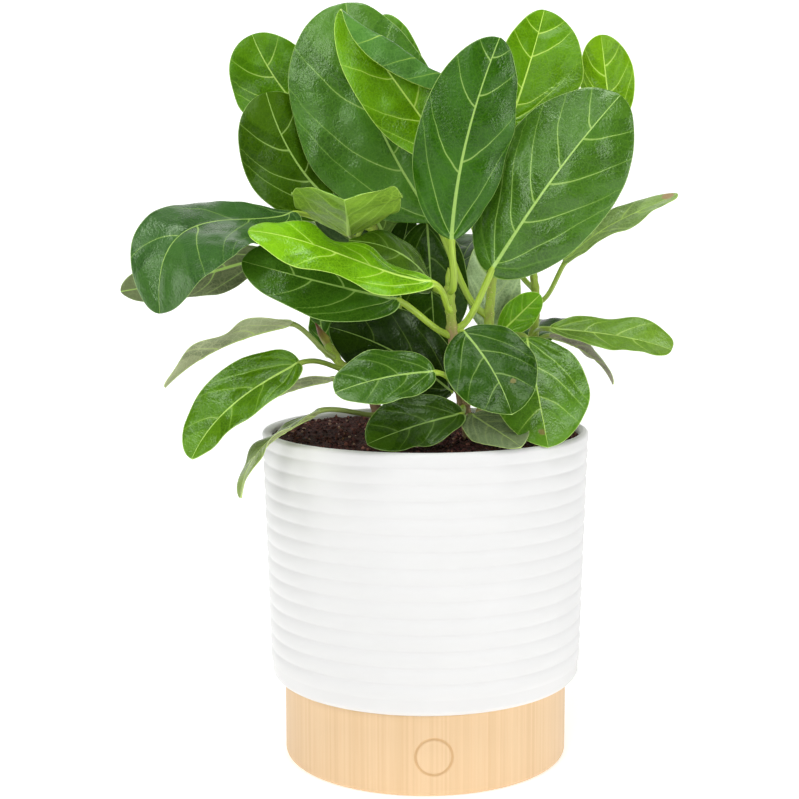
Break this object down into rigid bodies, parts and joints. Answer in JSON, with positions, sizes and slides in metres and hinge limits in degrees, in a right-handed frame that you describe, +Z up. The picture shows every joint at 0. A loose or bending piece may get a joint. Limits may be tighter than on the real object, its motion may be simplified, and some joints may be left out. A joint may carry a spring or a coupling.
{
  "type": "potted bengal fig",
  "caption": "Bushy young broad-leaved fig house plant with upright and drooping oval leaves, in a ribbed white pot on a low wooden base",
  "frame": {"origin": "centre of the wooden base's underside, on the surface the plant stands on", "axes": "+Z up, -Y towards the front with the engraved ring, +X to the right seen from the front"},
  "size_m": [0.2804, 0.2122, 0.3673],
  "materials": {
    "white_glaze": "satin white glaze, horizontally ribbed",
    "light_wood": "light bamboo with fine upright grain, satin",
    "soil": "damp crumbly potting soil, matte",
    "bark": "young brown bark turning green, matte",
    "bud": "bud scales, satin",
    "leaf_mature": "dark green leaf with pale veins, satin",
    "leaf_mid": "mid green leaf with pale veins, satin",
    "leaf_bright": "young yellow-green leaf, satin",
    "leaf_pale": "pale grey-green leaf, satin"
  },
  "bodies": {
    "root": {"white_pot": "white_glaze", "wood_base": "light_wood", "potting_soil": "soil", "stem_middle": "bark", "stem_right": "bark", "stem_back": "bark", "stem_left": "bark", "stem_inner": "bark", "stem_outer": "bark", "leaf_bud": "bud", "top_bud": "bud", "leaf_front_tall": "leaf_mature", "leaf_right_big": "leaf_mature", "leaf_top_bright": "leaf_bright", "leaf_top_right": "leaf_bright", "leaf_top_left_big": "leaf_mature", "leaf_young_folded": "leaf_bright", "leaf_upper_left": "leaf_mid", "leaf_left_dark": "leaf_mature", "leaf_far_left": "leaf_mature", "leaf_left_under": "leaf_mature", "leaf_left_low": "leaf_mature", "leaf_young_left": "leaf_bright", "leaf_centre_keeled": "leaf_mid", "leaf_centre_arched": "leaf_mature", "leaf_left_inner": "leaf_mature", "leaf_left_thin": "leaf_mid", "leaf_left_drooping": "leaf_mid", "leaf_left_narrow": "leaf_mid", "leaf_over_rim": "leaf_mid", "leaf_centre_low": "leaf_mature", "leaf_front_low": "leaf_mature", "leaf_front_pale": "leaf_pale", "leaf_right_low": "leaf_mature", "leaf_right_rim": "leaf_mid", "leaf_right_long": "leaf_mid", "leaf_right_under": "leaf_pale", "leaf_right_behind": "leaf_mid", "leaf_centre_pale": "leaf_pale", "leaf_small_bright": "leaf_bright", "leaf_centre_dark": "leaf_mature", "leaf_left_small": "leaf_mature", "leaf_behind_middle": "leaf_mid", "leaf_top_behind": "leaf_mid", "leaf_back_left": "leaf_mature", "leaf_back_middle": "leaf_mature", "leaf_back_right": "leaf_mature", "leaf_back_low_left": "leaf_mature", "leaf_back_low_right": "leaf_mature", "leaf_back_out": "leaf_mature", "leaf_back_low": "leaf_mid", "leaf_back_far_left": "leaf_mature", "leaf_back_far_right": "leaf_mid", "leaf_back_left_low": "leaf_mature", "leaf_back_mid_low": "leaf_mid", "leaf_inner_dark": "leaf_mature"}
  },
  "joints": []
}
